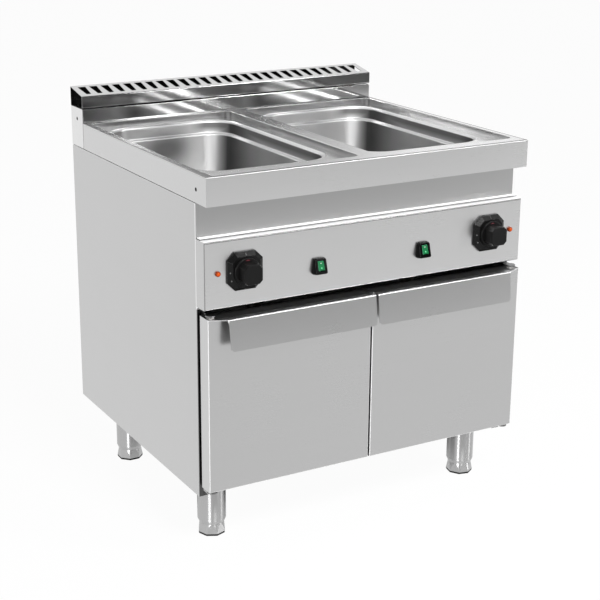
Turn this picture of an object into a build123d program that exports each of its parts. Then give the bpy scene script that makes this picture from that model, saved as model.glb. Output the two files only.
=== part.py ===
from build123d import *

import math
import os

# Overall size of the counter, in millimetres
width = 800.0
depth = 730.0
worktop_height = 834.0
front_overhang = 31.0
sheet = 1.2
thick_sheet = 1.5
bend = 2.0
fit_gap = 0.3
running_gap = 0.05

# The origin is on the floor under the middle of the overall box
half_width = width / 2
front_y = front_overhang - (depth + front_overhang) / 2
rear_y = front_y + depth

# Worktop with two recessed wells
apron_height = 61.0
apron_z = worktop_height - apron_height
apron_return = 14.0
worktop_edge = 2.5
rim_front = 33.0
rim_side = 16.0
rim_rear = 12.0
bridge = 40.0
upstand_depth = 74.0
seam_y = rear_y - upstand_depth
recess_width = half_width - rim_side - bridge / 2
recess_length = seam_y - front_y - rim_front - rim_rear
recess_depth = 14.0
recess_corner = 20.0
recess_edge = 1.8
well_x = -(bridge + recess_width) / 2
recess_y = front_y + rim_front + recess_length / 2
ledge_z = worktop_height - recess_depth
joining_hole = 3.3
joining_front_y = front_y + 46.0
joining_front_z = apron_z + 28.0
joining_rear_y = rear_y - 38.0
joining_rear_z = worktop_height + 6.0

# Drawn basins
opening_width = 312.0
opening_length = 516.0
opening_corner = 60.0
opening_rear_ledge = 23.0
basin_y = recess_y + recess_length / 2 - opening_rear_ledge - opening_length / 2
lip_land = 8.0
lip_radius = 7.0
shelf_z = ledge_z - 31.0
shelf_width = 9.0
shelf_radius = 3.0
basin_floor_z = ledge_z - 150.0
basin_floor_radius = 24.0
basin_draft = 1.5
drain_y = front_y + 172.0
drain_bore = 12.0

# Flue upstand and its slotted grille
upstand_z = worktop_height + 32.5
upstand_flange = 9.0
grille_gap = 2.4
grille_front_z = worktop_height + 63.7
grille_rear_z = worktop_height + 78.4
grille_flange = 8.0
slot_count = 27
slot_pitch = 29.0
slot_rear_width = 19.5
slot_front_width = 11.5
slot_front = 12.5
slot_rear = 13.5
slot_cut = 24.0
dimple_radius = 5.0
dimple_spacing = 340.0

# Cabinet body
body_front_y = front_y + 51.0
body_bottom_z = 124.5
floor_z = 144.0
side_front_flange = 10.0
side_rear_flange = 16.0
side_bottom_flange = 20.0
side_top_flange = 16.0
seam_gap = 1.7
rear_panel_inset = 30.0
rear_panel_y = rear_y - rear_panel_inset
roof_z = 584.0
roof_front_y = front_y + 57.0
inner_half_width = half_width - sheet - fit_gap

# Recessed strip, ledge and control panel
strip_y = front_y + 47.0
ledge_front_y = front_y + 30.0
strip_ledge_z = 699.8
panel_half_width = 400.0
panel_y = front_y + 13.0
panel_bottom_z = 553.0
panel_top_z = 697.5
panel_radius = 3.0

# Thermostat knobs
knob_x = -309.0
knob_z = 629.0
bezel_size = 81.0
bezel_corner = 17.0
bezel_rim = 5.0
bezel_height = 12.0
bezel_top = 63.0
bezel_bore = 9.0
skirt_radius = 29.5
skirt_height = 17.0
grip_width = 43.0
grip_corner = 8.0
grip_height = 44.0
grip_draft = 2.0
spindle_radius = 3.0
spindle_tip = 34.0
spindle_tail = 22.0
neck_radius = 5.0
neck_height = 4.0
thermostat_width = 40.0
thermostat_depth = 36.0

# Signal lamps and rocker switches
lamp_x = -370.0
lamp_z = 629.0
lamp_radius = 5.8
lamp_collar = 2.0
lamp_dome = 4.5
lamp_body_radius = 4.5
lamp_body_length = 22.0
switch_x = -132.0
switch_z = 613.0
switch_width = 35.0
switch_side_angle = 86.0
switch_height = 36.0
switch_corner = 6.0
switch_base = 3.0
switch_draft = 12.0
switch_low_edge = 16.0
switch_slope = 15.0
switch_edge = 3.0
switch_cutout = (21.5, 27.5)
switch_body_length = 26.0
window = (15.5, 23.0)
window_depth = 12.0
rocker_gap = 0.5
rocker_pivot = 4.0
rocker_length = 20.0
rocker_reach = 8.0
rocker_back = 5.0
rocker_tilt = 6.0
trunnion_radius = 1.5
trunnion_length = 1.2

# Doors with folded handle flaps
door_outer_x = -397.0
door_inner_x = -2.0
door_y = front_y + 5.0
door_back_y = front_y + 42.0
door_bottom_z = 150.0
door_top_z = 536.0
door_radius = 2.5
handle_reach = 19.0
handle_overhang = 22.0
handle_overlap = 8.0
flap_drop = 67.0
flap_end_x = -358.0
flap_end_taper = 3.0
flap_corner = 8.0
flap_inner_x = -3.0
liner_gap = 0.2

# Door pivots
pivot_x = -384.0
pivot_y = front_y + 20.0
pin_radius = 4.0
pin_length = 19.0
bush_radius = 5.5
bush_flange_radius = 8.0
bush_flange = 1.5
bush_length = 12.0
bracket_thickness = 3.0
bracket_radius = 11.0
bracket_inner_x = -373.0
bracket_neck_x = -389.0
bracket_shoulder_y = body_front_y + 3.0
bracket_rear_y = front_y + 88.0
bracket_wing = 12.0
upper_bracket_z = 539.0

# Magnetic catches
catch_x = -34.0
catch_length = 46.0
catch_depth = 20.0
catch_height = 24.0
magnet_length = 30.0
magnet_height = 10.0
magnet_gap = 0.6

# Legs and adjustable feet
leg_x = -338.0
leg_front_y = front_y + 118.0
leg_rear_y = front_y + 577.0
leg_radius = 31.75
leg_bottom_z = 26.0
leg_taper = 9.0
leg_mouth_radius = 28.0
leg_wall = 2.0
leg_plate = 90.0
leg_plate_thickness = 3.0
nut_z = 84.0
nut_height = 12.0
foot_neck_radius = 27.25
foot_neck_top_z = 79.0
foot_flat = 29.0
foot_flare_radius = 31.6
foot_pad_height = 3.0
foot_pad_step = 0.6
foot_turn = 19.0
foot_turn_step = 13.0
stem_radius = 8.0
stem_top_z = 138.5

# Heating elements under the basins
element_radius = 4.25
element_runs = (-105.0, -35.0, 35.0, 105.0)
element_front_y = front_y + 145.0
element_turn_y = front_y + 230.0
element_rear_y = front_y + 575.0
element_bend = 30.0
clamp_width = 20.0
clamp_length = 250.0
clamp_thickness = 3.0
clamp_front_y = front_y + 280.0
clamp_rear_y = front_y + 510.0
capillary_radius = 1.2
capillary_bend = 8.0
bulb_radius = 4.0
bulb_length = 90.0

# Drain pipes and ball valves
drain_flange_radius = 22.0
drain_flange = 2.0
drain_wall = 2.0
valve_top_z = 544.0
valve_bottom_z = 489.0
valve_radius = 17.0
collar_radius = 20.0
collar_height = 10.0
outlet_radius = 10.48
outlet_bore = 7.5
outlet_length = 16.0
stem_axis_z = 516.0
valve_stem_radius = 7.0
valve_stem_reach = 30.0
lever_pin_radius = 4.0
lever_hub_radius = 10.0
lever_thickness = 6.0
lever_length = 62.0
lever_width = 16.0

# Supply inlet
gland_x = 300.0
gland_z = 634.0
gland_bore = 6.5
gland_thread_radius = 10.0
gland_nut_radius = 14.0
gland_nut_height = 8.0
gland_dome_height = 12.0
terminal_size = (76.0, 26.0, 34.0)
terminal_poles = 5
terminal_pitch = 14.0
terminal_well = 4.0
terminal_well_depth = 12.0


def block(x, y, z):
    """Box between the low and high value on each axis."""
    size = [high - low for low, high in (x, y, z)]
    centre = [(low + high) / 2 for low, high in (x, y, z)]
    return Pos(*centre) * Box(*size)


def rounded_prism(centre, size, corner, z, taper=0):
    """Upright prism with rounded corners, drawn downwards from its upper end."""
    outline = Pos(*centre, z[1]) * RectangleRounded(*size, corner)
    return extrude(outline, amount=z[0] - z[1], taper=taper)


def folded_along_x(points, x):
    """Sheet folded along a line of y and z points, running between two x values."""
    line = FilletPolyline(*points, radius=bend)
    profile = Plane.YZ * trace(line, line_width=sheet)
    return Pos(x[0], 0, 0) * extrude(profile, amount=x[1] - x[0])


def post(centre, radius, z):
    """Upright cylinder between two heights."""
    return Pos(*centre, z[0]) * extrude(Circle(radius), amount=z[1] - z[0])


def rod_along_y(centre, radius, y):
    """Cylinder along the depth of the counter, centred on an x and z point."""
    start = Plane((centre[0], y[0], centre[1]), z_dir=(0, 1, 0))
    return start * extrude(Circle(radius), amount=y[1] - y[0])


def outward_plane(x, z):
    """Work plane on the control panel whose normal points at the user."""
    return Plane((x, panel_y, z), x_dir=(1, 0, 0), z_dir=(0, -1, 0))


def flat_face_at(solid, z):
    """The level face with a hole in it that lies at a given height."""
    level = [face for face in solid.faces().filter_by(Axis.Z) if abs(face.center().Z - z) < running_gap]
    return [face for face in level if face.inner_wires()][0]


def right_of(piece):
    """The matching piece on the right-hand side."""
    return mirror(piece, about=Plane.YZ)


def worktop():
    """Pressed top with aprons, two sunk recesses and an opening for each basin."""
    x = (-half_width, half_width)
    outer = block(x, (front_y, seam_y), (apron_z, worktop_height))
    top = outer.edges().group_by(Axis.Z)[-1]
    outer = fillet(top - top.group_by(Axis.Y)[-1], worktop_edge)
    outer = fillet(outer.edges().filter_by(Axis.Z), thick_sheet)
    inner_x = (x[0] + thick_sheet, x[1] - thick_sheet)
    inner_y = (front_y + thick_sheet, seam_y - thick_sheet)
    hollow_z = (apron_z + thick_sheet, worktop_height - thick_sheet)
    top = outer - block(inner_x, inner_y, hollow_z)
    lower_x = (x[0] + apron_return, x[1] - apron_return)
    top -= block(lower_x, (front_y + apron_return, seam_y + apron_return), (apron_z, hollow_z[0]))
    top -= block(lower_x, (seam_y - apron_return, seam_y), (apron_z, ledge_z - apron_return))
    for centre_x in (well_x, -well_x):
        wall = 2 * thick_sheet
        size = (recess_width, recess_length)
        tray_size = (recess_width + wall, recess_length + wall)
        tray_z = (ledge_z - thick_sheet, worktop_height - thick_sheet)
        tray = rounded_prism((centre_x, recess_y), tray_size, recess_corner + thick_sheet, tray_z)
        sunk = rounded_prism((centre_x, recess_y), size, recess_corner, (ledge_z, worktop_height))
        opening_size = (opening_width + 2 * lip_land, opening_length + 2 * lip_land)
        opening_z = (tray_z[0] - thick_sheet, ledge_z)
        opening = rounded_prism((centre_x, basin_y), opening_size, opening_corner + lip_land, opening_z)
        top = top + tray - sunk - opening
    top = fillet(flat_face_at(top, worktop_height).inner_wires().edges(), recess_edge)
    hole = Plane((-width, joining_front_y, joining_front_z), z_dir=(1, 0, 0)) * Circle(joining_hole)
    return top - extrude(hole, amount=2 * width)


def basin_form(grow, plate_z, shelf, floor, bends):
    """Solid on one side of the basin sheet, from the lip down to the floor."""
    lip_bend, outer_bend, inner_bend, floor_bend = bends
    centre = (well_x, basin_y)

    def prism(extra, z, taper=0):
        size = (opening_width + 2 * extra, opening_length + 2 * extra)
        return rounded_prism(centre, size, opening_corner + extra, z, taper)

    tub = prism(grow - shelf_width, (floor, shelf), basin_draft)
    tub = fillet(tub.faces().sort_by(Axis.Z)[0].edges(), floor_bend)
    form = tub + prism(grow, (shelf, plate_z[0]))
    form += prism(lip_land, plate_z)
    form = fillet(flat_face_at(form, plate_z[0]).inner_wires().edges(), lip_bend)
    form = fillet(flat_face_at(form, shelf).outer_wire().edges(), outer_bend)
    return fillet(flat_face_at(form, shelf).inner_wires().edges(), inner_bend)


def basin():
    """Drawn stainless basin with a rolled lip, a shelf for the pan and a drain hole."""
    outer_bends = (lip_radius - sheet, shelf_radius + sheet, shelf_radius, basin_floor_radius + sheet)
    inner_bends = (lip_radius, shelf_radius, shelf_radius + sheet, basin_floor_radius)
    outer_plate = (ledge_z - sheet, ledge_z)
    inner_plate = (ledge_z, ledge_z + recess_depth)
    outer = basin_form(sheet, outer_plate, shelf_z - sheet, basin_floor_z - sheet, outer_bends)
    inner = basin_form(0, inner_plate, shelf_z, basin_floor_z, inner_bends)
    drain_z = (basin_floor_z - lip_land, basin_floor_z + lip_land)
    return outer - inner - post((well_x, drain_y), drain_bore, drain_z)


def flue_upstand():
    """Folded box behind the worktop, open below and at the top."""
    z = (apron_z, upstand_z)
    outer = block((-half_width, half_width), (seam_y, rear_y), z)
    outer = fillet(outer.edges().filter_by(Axis.Z), thick_sheet)
    top_edges = outer.edges().group_by(Axis.Z)[-1]
    outer = fillet(top_edges.filter_by(Axis.X), thick_sheet)
    inner_x = (-half_width + sheet, half_width - sheet)
    inner_y = (seam_y + sheet, rear_y - sheet)
    box = outer - block(inner_x, inner_y, (apron_z + sheet, upstand_z - sheet))
    throat_y = (seam_y + upstand_flange, rear_y - upstand_flange)
    box -= block(inner_x, throat_y, (upstand_z - sheet, upstand_z))
    box -= block(inner_x, (seam_y + upstand_flange, rear_panel_y - sheet), (apron_z, apron_z + sheet))
    hole = Plane((-width, joining_rear_y, joining_rear_z), z_dir=(1, 0, 0)) * Circle(joining_hole)
    return box - extrude(hole, amount=2 * width)


def flue_grille():
    """Sloping channel with open ends and a row of slots across its top."""
    half = sheet / 2
    front = seam_y + half
    back = rear_y - half
    seat = upstand_z + half
    points = [(front + grille_flange, seat + grille_gap), (front, seat + grille_gap)]
    points += [(front, grille_front_z - half), (back, grille_rear_z - half)]
    points += [(back, seat), (back - grille_flange, seat)]
    grille = folded_along_x(points, (-half_width, half_width))
    cutter_z = (grille_front_z - slot_cut, grille_rear_z + slot_cut)
    first = -slot_pitch * (slot_count - 1) / 2
    slot_y = (seam_y + slot_front, rear_y - slot_rear)
    outline = Polyline(
        (-slot_front_width / 2, slot_y[0]),
        (slot_front_width / 2, slot_y[0]),
        (slot_rear_width / 2, slot_y[1]),
        (-slot_rear_width / 2, slot_y[1]),
        close=True,
    )
    slot = extrude(make_face(outline), amount=cutter_z[1] - cutter_z[0])
    for number in range(slot_count):
        grille -= Pos(first + number * slot_pitch, 0, cutter_z[0]) * slot
    for dimple_x in (-dimple_spacing, 0, dimple_spacing):
        dimple_z = (upstand_z, seat + grille_gap)
        grille += post((dimple_x, front + dimple_radius), dimple_radius - half, dimple_z)
    return grille


def side_panel():
    """Left side sheet with folded edges; the front fold stops below the recessed strip."""
    half = sheet / 2
    x = -half_width + half
    front = body_front_y + half
    back = rear_y - half
    points = [(x + side_front_flange, front), (x, front), (x, back), (x + side_rear_flange, back)]
    profile = trace(FilletPolyline(*points, radius=bend), line_width=sheet)
    top_z = apron_z - seam_gap
    panel = Pos(0, 0, body_bottom_z) * extrude(profile, amount=top_z - body_bottom_z)
    inner_x = -half_width + sheet
    notch_x = (inner_x, inner_x + side_front_flange)
    panel -= block(notch_x, (body_front_y, front + bend), (panel_top_z, apron_z))
    y = (strip_y + 2 * bend, rear_panel_y - sheet - fit_gap)
    panel += block((inner_x, x + side_top_flange), y, (top_z - sheet, top_z))
    panel += block((x + side_top_flange / 2, x + side_top_flange), y, (top_z, apron_z))
    bottom_z = (body_bottom_z, body_bottom_z + sheet)
    return panel + block((inner_x, x + side_bottom_flange), (front, back), bottom_z)


def rear_panel():
    """Back sheet set in from the rear edges, with the hole for the supply inlet."""
    y = (rear_panel_y - sheet, rear_panel_y)
    panel = block((-inner_half_width, inner_half_width), y, (body_bottom_z + sheet, apron_z - fit_gap))
    return panel - rod_along_y((gland_x, gland_z), gland_thread_radius, (y[0] - sheet, y[1] + sheet))


def bottom_panel():
    """Cupboard floor with its sides folded down on to the side panels."""
    half = sheet / 2
    x = inner_half_width - half
    foot_z = body_bottom_z + sheet
    points = [(-x, foot_z), (-x, floor_z - half), (x, floor_z - half), (x, foot_z)]
    profile = Plane.XZ * trace(FilletPolyline(*points, radius=bend), line_width=sheet)
    front = body_front_y + bend
    length = rear_panel_y - sheet - front
    return Pos(0, front, 0) * extrude(profile, amount=-length)


def front_rail():
    """Recessed strip that rises inside the worktop, with the ledge over the control panel."""
    half = sheet / 2
    top = ledge_z - thick_sheet - half
    points = [(strip_y + side_rear_flange, top), (strip_y + half, top)]
    points += [(strip_y + half, strip_ledge_z + half), (ledge_front_y, strip_ledge_z + half)]
    rail = folded_along_x(points, (-half_width, half_width))
    shoulder_x = half_width - apron_return - fit_gap
    notch = block((shoulder_x, half_width), (front_y, rear_y), (apron_z - seam_gap, worktop_height))
    end_y = (strip_y + half, body_front_y - fit_gap)
    end = block((-half_width, -half_width + sheet), end_y, (strip_ledge_z + half, apron_z - seam_gap))
    return rail - notch - right_of(notch) + end + right_of(end)


def control_panel():
    """Folded front box with cut-outs for the knobs, lamps and switches."""
    x = (-panel_half_width, panel_half_width)
    z = (panel_bottom_z, panel_top_z)
    outer = block(x, (panel_y, body_front_y), z)
    outer = fillet(outer.edges().group_by(Axis.Y)[0], panel_radius)
    inner_x = (x[0] + sheet, x[1] - sheet)
    inner = block(inner_x, (panel_y + sheet, body_front_y), (z[0] + sheet, z[1] - sheet))
    inner = fillet(inner.edges().group_by(Axis.Y)[0], panel_radius - sheet)
    panel = outer - inner
    for side in (-1, 1):
        cut_y = (panel_y - sheet, panel_y + 2 * sheet)
        panel -= rod_along_y((side * knob_x, knob_z), neck_radius + fit_gap, cut_y)
        panel -= rod_along_y((side * lamp_x, lamp_z), lamp_body_radius, cut_y)
        cut_x = side * switch_x
        slot_x = (cut_x - switch_cutout[0] / 2, cut_x + switch_cutout[0] / 2)
        panel -= block(slot_x, cut_y, (switch_z - switch_cutout[1] / 2, switch_z + switch_cutout[1] / 2))
    return panel


def compartment_roof():
    """Ceiling of the cupboard, folded down in front to form its header."""
    half = sheet / 2
    level = roof_z + half
    front = roof_front_y + half
    points = [(rear_panel_y - sheet, level), (front, level), (front, panel_bottom_z)]
    roof = folded_along_x(points, (-inner_half_width, inner_half_width))
    for centre_x in (well_x, -well_x):
        roof -= post((centre_x, drain_y), drain_bore + drain_wall + fit_gap, (roof_z - bend, roof_z + bend))
    return roof


def knob_bezel():
    """Eight-sided bezel with sloping faces around the thermostat spindle."""
    plane = outward_plane(knob_x, knob_z)
    square = Rectangle(bezel_size, bezel_size)
    outline = chamfer(square.vertices(), bezel_corner)
    rise = bezel_height - bezel_rim
    slope = math.degrees(math.atan((bezel_size - bezel_top) / 2 / rise))
    bezel = plane * extrude(outline, amount=bezel_rim)
    bezel += plane.offset(bezel_rim) * extrude(outline, amount=rise, taper=slope)
    return bezel - plane * extrude(Circle(bezel_bore), amount=bezel_height)


def knob():
    """Turning part: round skirt with a squared grip."""
    plane = outward_plane(knob_x, knob_z)
    start = bezel_height + fit_gap
    skirt = plane.offset(start) * extrude(Circle(skirt_radius), amount=skirt_height - start)
    skirt = fillet(skirt.edges().group_by(Axis.Y)[0], bend)
    grip_outline = chamfer(Rectangle(grip_width, grip_width).vertices(), grip_corner)
    grip = extrude(grip_outline, amount=grip_height - skirt_height + bend, taper=grip_draft)
    grip = plane.offset(skirt_height - bend) * grip
    grip = fillet(grip.edges().group_by(Axis.Y)[0], bend)
    bore = plane * extrude(Circle(spindle_radius), amount=spindle_tip)
    return skirt + grip - bore


def spindle():
    """Thermostat spindle that carries the knob."""
    plane = outward_plane(knob_x, knob_z)
    return plane.offset(-spindle_tail) * extrude(Circle(spindle_radius), amount=spindle_tail + spindle_tip)


def thermostat():
    """Thermostat body behind the panel, its capillary tube and the bulb under the basin."""
    plane = outward_plane(knob_x, knob_z)
    back = sheet + thermostat_depth
    outline = RectangleRounded(thermostat_width, thermostat_width, bend)
    body = plane.offset(-back) * extrude(outline, amount=thermostat_depth)
    body += plane.offset(-back) * extrude(Circle(neck_radius), amount=back + neck_height)
    bore = extrude(Circle(spindle_radius + running_gap), amount=back)
    body -= plane.offset(-spindle_tail - fit_gap) * bore
    bulb_z = basin_floor_z - sheet - fit_gap - bulb_radius
    bulb_start = element_turn_y + clamp_length / 2
    start = Vector(knob_x, panel_y + back - bend, knob_z)
    low_z = bulb_z - thermostat_width / 2
    low_x = well_x - thermostat_width
    points = [start, start + (0, thermostat_depth, 0), (low_x, start.Y + thermostat_depth, low_z)]
    points += [(low_x, bulb_start - thermostat_width, low_z), (well_x, bulb_start + bend, bulb_z)]
    path = FilletPolyline(*points, radius=capillary_bend)
    tube = sweep(Plane(start, z_dir=(0, 1, 0)) * Circle(capillary_radius), path=path)
    return body + tube + rod_along_y((well_x, bulb_z), bulb_radius, (bulb_start, bulb_start + bulb_length))


def heater():
    """Tubular element bent in a serpentine under the basin floor."""
    level = basin_floor_z - sheet - element_radius
    runs = [well_x + offset for offset in element_runs]
    points = [(runs[0], element_front_y, level), (runs[0], element_rear_y, level)]
    points += [(runs[1], element_rear_y, level), (runs[1], element_turn_y, level)]
    points += [(runs[2], element_turn_y, level), (runs[2], element_rear_y, level)]
    points += [(runs[3], element_rear_y, level), (runs[3], element_front_y, level)]
    path = FilletPolyline(*points, radius=element_bend)
    return sweep(Plane(points[0], z_dir=(0, 1, 0)) * Circle(element_radius), path=path)


def heater_clamps():
    """Two flat bars that hold the element against the basin."""
    top = basin_floor_z - sheet - 2 * element_radius
    x = (well_x - clamp_length / 2, well_x + clamp_length / 2)
    bars = []
    for y in (clamp_front_y, clamp_rear_y):
        bars.append(block(x, (y, y + clamp_width), (top - clamp_thickness, top)))
    return Compound(bars)


def lamp():
    """Signal lamp: domed lens on a round body that passes through the panel."""
    plane = outward_plane(lamp_x, lamp_z)
    lens = plane * extrude(Circle(lamp_radius), amount=lamp_collar + lamp_dome)
    lens = fillet(lens.edges().group_by(Axis.Y)[0], lamp_dome)
    body = extrude(Circle(lamp_body_radius), amount=lamp_body_length)
    return lens + plane.offset(-lamp_body_length) * body


def rocker_plane():
    """Plane through the rocker pivot, tilted like the front of the switch."""
    centre = outward_plane(switch_x, switch_z).offset(rocker_pivot)
    return centre.rotated((-switch_slope, 0, 0))


def switch_housing():
    """Splash-proof switch frame with a sloping front and a window for the rocker."""
    plane = outward_plane(switch_x, switch_z)
    outline = Trapezoid(switch_width, switch_height, switch_side_angle)
    outline = fillet(outline.vertices(), switch_corner)
    frame = plane * extrude(outline, amount=switch_base)
    frame += plane.offset(switch_base) * extrude(outline, amount=switch_low_edge, taper=switch_draft)
    front = rocker_plane().offset(rocker_reach)
    frame -= front * extrude(Rectangle(2 * switch_width, 2 * switch_height), amount=switch_height)
    rim = frame.faces().sort_by(Axis.Y)[0].edges()
    frame = fillet(rim, switch_edge)
    body = extrude(Rectangle(*switch_cutout), amount=switch_body_length)
    frame += plane.offset(-switch_body_length) * body
    pocket = rocker_plane().offset(-window_depth)
    frame -= pocket * extrude(Rectangle(*window), amount=2 * switch_height)
    reach = window[0] / 2 + trunnion_length
    hole = Plane((switch_x - reach, *tuple(rocker_plane().origin)[1:]), z_dir=(1, 0, 0))
    return frame - hole * extrude(Circle(trunnion_radius + running_gap), amount=2 * reach)


def rocker():
    """Rocker key on two trunnions, pressed in at its upper end."""
    pivot = rocker_plane().rotated((-rocker_tilt, 0, 0))
    size = (window[0] - 2 * rocker_gap, rocker_length)
    key = pivot.offset(-rocker_back) * extrude(Rectangle(*size), amount=rocker_back + rocker_reach)
    key = fillet(key.faces().sort_by(Axis.Y)[0].edges(), bend / 2)
    reach = window[0] / 2 + trunnion_length - fit_gap
    axle = Plane((switch_x - reach, *tuple(pivot.origin)[1:]), z_dir=(1, 0, 0))
    return key + axle * extrude(Circle(trunnion_radius), amount=2 * reach)


def door_skin():
    """Door front with folded sides, and the top edge folded forward into the handle flap."""
    x = (door_outer_x, door_inner_x)
    outer = block(x, (door_y, door_back_y), (door_bottom_z, door_top_z))
    outer = fillet(outer.edges().group_by(Axis.Y)[0].sort_by(Axis.Z)[:-1], door_radius)
    inner_x = (x[0] + sheet, x[1] - sheet)
    inner = block(inner_x, (door_y + sheet, door_back_y), (door_bottom_z + sheet, door_top_z))
    skin = outer - fillet(inner.edges().group_by(Axis.Y)[0].sort_by(Axis.Z)[:-1], door_radius - sheet)
    half = sheet / 2
    fold_z = door_top_z - handle_overlap
    skin -= block(inner_x, (door_y, door_y + sheet), (fold_z, door_top_z))
    flap_y = front_y - handle_overhang
    points = [(door_y + half, fold_z), (door_y + half, door_top_z - half)]
    points += [(door_y - handle_reach + half, door_top_z - half), (flap_y + half, door_top_z - flap_drop)]
    handle = folded_along_x(points, (inner_x[0], flap_inner_x))
    skin += trimmed_handle(handle)
    hole_z = (door_bottom_z - sheet, door_bottom_z + 2 * sheet)
    return skin - post((pivot_x, pivot_y), bush_radius, hole_z)


def trimmed_handle(handle):
    """Cuts the outer end of the handle on a slant and rounds the lower corners of its flap."""
    fold_y = door_y - handle_reach
    corner = Polyline(
        (door_outer_x, door_y),
        (flap_end_x, fold_y),
        (flap_end_x + flap_end_taper, fold_y - handle_overhang),
        (door_outer_x - handle_reach, fold_y - handle_overhang),
        (door_outer_x - handle_reach, door_y),
        close=True,
    )
    cutter = Pos(0, 0, door_top_z + bend) * extrude(make_face(corner), amount=-2 * flap_drop)
    handle -= cutter
    lowest = handle.faces().sort_by(Axis.Z)[0]
    short = [edge for edge in lowest.edges() if edge.length < 2 * bend]
    return fillet(short, flap_corner)


def door_liner():
    """Back sheet of the door with a folded top that carries the upper bush."""
    half = sheet / 2
    top = door_top_z - sheet - half
    back = door_back_y - half
    low = door_bottom_z + sheet + liner_gap
    points = [(back, low), (back, top), (door_y + 2 * bend, top)]
    x = (door_outer_x + sheet + liner_gap, door_inner_x - sheet - liner_gap)
    liner = folded_along_x(points, x)
    return liner - post((pivot_x, pivot_y), bush_radius, (top - bend, top + bend))


def door_bushes():
    """Flanged plastic bushes at the top and bottom of the door."""
    centre = (pivot_x, pivot_y)
    top = door_top_z - sheet
    upper = post(centre, bush_radius, (top - bush_length, top))
    upper += post(centre, bush_flange_radius, (top, top + bush_flange))
    upper -= post(centre, pin_radius + running_gap, (top - 2 * bush_length, top + bush_length))
    seat = floor_z + bracket_thickness + fit_gap
    lower = post(centre, bush_radius, (door_bottom_z, door_bottom_z + bush_length))
    lower += post(centre, bush_flange_radius, (seat, door_bottom_z))
    lower -= post(centre, pin_radius + running_gap, (floor_z, door_bottom_z + 2 * bush_length))
    return Compound([upper, lower])


def hinge_bracket(plate_z, wing_z, pin_z):
    """Tongue with a rounded end and a pin, with a wing against the side panel."""
    plate = Pos(pivot_x, pivot_y, 0) * Circle(bracket_radius)
    neck = block((bracket_neck_x, bracket_inner_x), (pivot_y, bracket_rear_y), plate_z)
    side_x = -half_width + sheet
    shoulder = block((side_x, bracket_inner_x), (bracket_shoulder_y, bracket_rear_y), plate_z)
    wing = block((side_x, side_x + bracket_thickness), (bracket_shoulder_y, bracket_rear_y), wing_z)
    tongue = Pos(0, 0, plate_z[0]) * extrude(plate, amount=plate_z[1] - plate_z[0])
    return tongue + neck + shoulder + wing + post((pivot_x, pivot_y), pin_radius, pin_z)


def upper_hinge():
    """Upper hinge bracket with its pin pointing down into the door."""
    plate_z = (upper_bracket_z, upper_bracket_z + bracket_thickness)
    wing_z = (upper_bracket_z, upper_bracket_z + bracket_wing)
    return hinge_bracket(plate_z, wing_z, (upper_bracket_z - pin_length, plate_z[1]))


def lower_hinge():
    """Lower hinge bracket on the cupboard floor with its pin pointing up."""
    top = floor_z + bracket_thickness
    return hinge_bracket((floor_z, top), (floor_z, floor_z + bracket_wing), (floor_z, top + pin_length))


def door_catch():
    """Magnetic catch on the cupboard floor behind the free edge of the door."""
    x = (catch_x - catch_length / 2, catch_x + catch_length / 2)
    face = door_back_y + magnet_gap
    body = block(x, (face + bend, face + catch_depth), (floor_z, floor_z + catch_height))
    body = fillet(body.edges().filter_by(Axis.Z), bend)
    magnet_x = (catch_x - magnet_length / 2, catch_x + magnet_length / 2)
    top = floor_z + catch_height - bend
    return body + block(magnet_x, (face, face + 2 * bend), (top - magnet_height, top))


def leg(centre):
    """Tubular leg under the floor with a tapered mouth and a threaded plate inside."""
    inner = leg_radius - leg_wall
    plate_z = floor_z - sheet - leg_plate_thickness
    outline = Polyline(
        (leg_mouth_radius, leg_bottom_z),
        (leg_radius, leg_bottom_z + leg_taper),
        (leg_radius, plate_z),
        (inner, plate_z),
        (inner, nut_z + nut_height),
        (stem_radius + running_gap, nut_z + nut_height),
        (stem_radius + running_gap, nut_z),
        (foot_neck_radius + fit_gap, nut_z),
        (foot_neck_radius + fit_gap, leg_bottom_z),
        close=True,
    )
    tube = revolve(Plane.XZ * make_face(outline), axis=Axis.Z)
    size = (leg_plate, leg_plate)
    plate = rounded_prism((0, 0), size, leg_taper, (plate_z, plate_z + leg_plate_thickness))
    return Pos(*centre, 0) * (tube + plate)


def foot(centre, turn):
    """Adjustable foot: a flared end cut to eight flats, a pad, a round neck and its stem."""
    rise = leg_bottom_z - foot_pad_height
    slope = math.degrees(math.atan((foot_flat - foot_neck_radius) / rise))
    octagon = RegularPolygon(foot_flat, 8, major_radius=False, rotation=180 / 8)
    flats = extrude(octagon, amount=rise, taper=slope)
    flare = Pos(0, 0, rise / 2) * Cone(foot_flare_radius, foot_neck_radius, rise)
    base = Pos(0, 0, foot_pad_height) * (flats & flare)
    pad = RegularPolygon(foot_flat - foot_pad_step, 8, major_radius=False, rotation=180 / 8)
    base += extrude(pad, amount=foot_pad_height)
    base += post((0, 0), foot_neck_radius, (leg_bottom_z, foot_neck_top_z))
    base += post((0, 0), stem_radius, (foot_neck_top_z, stem_top_z))
    return Pos(*centre, 0) * Rot(0, 0, turn) * base


def drain_pipe():
    """Drain flange and pipe from the basin floor down to the valve."""
    centre = (well_x, drain_y)
    top = basin_floor_z - sheet
    outer = drain_bore + drain_wall
    pipe = post(centre, outer, (valve_top_z, top))
    pipe += post(centre, drain_flange_radius, (top - drain_flange, top))
    return pipe - post(centre, drain_bore, (valve_top_z, top))


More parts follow.
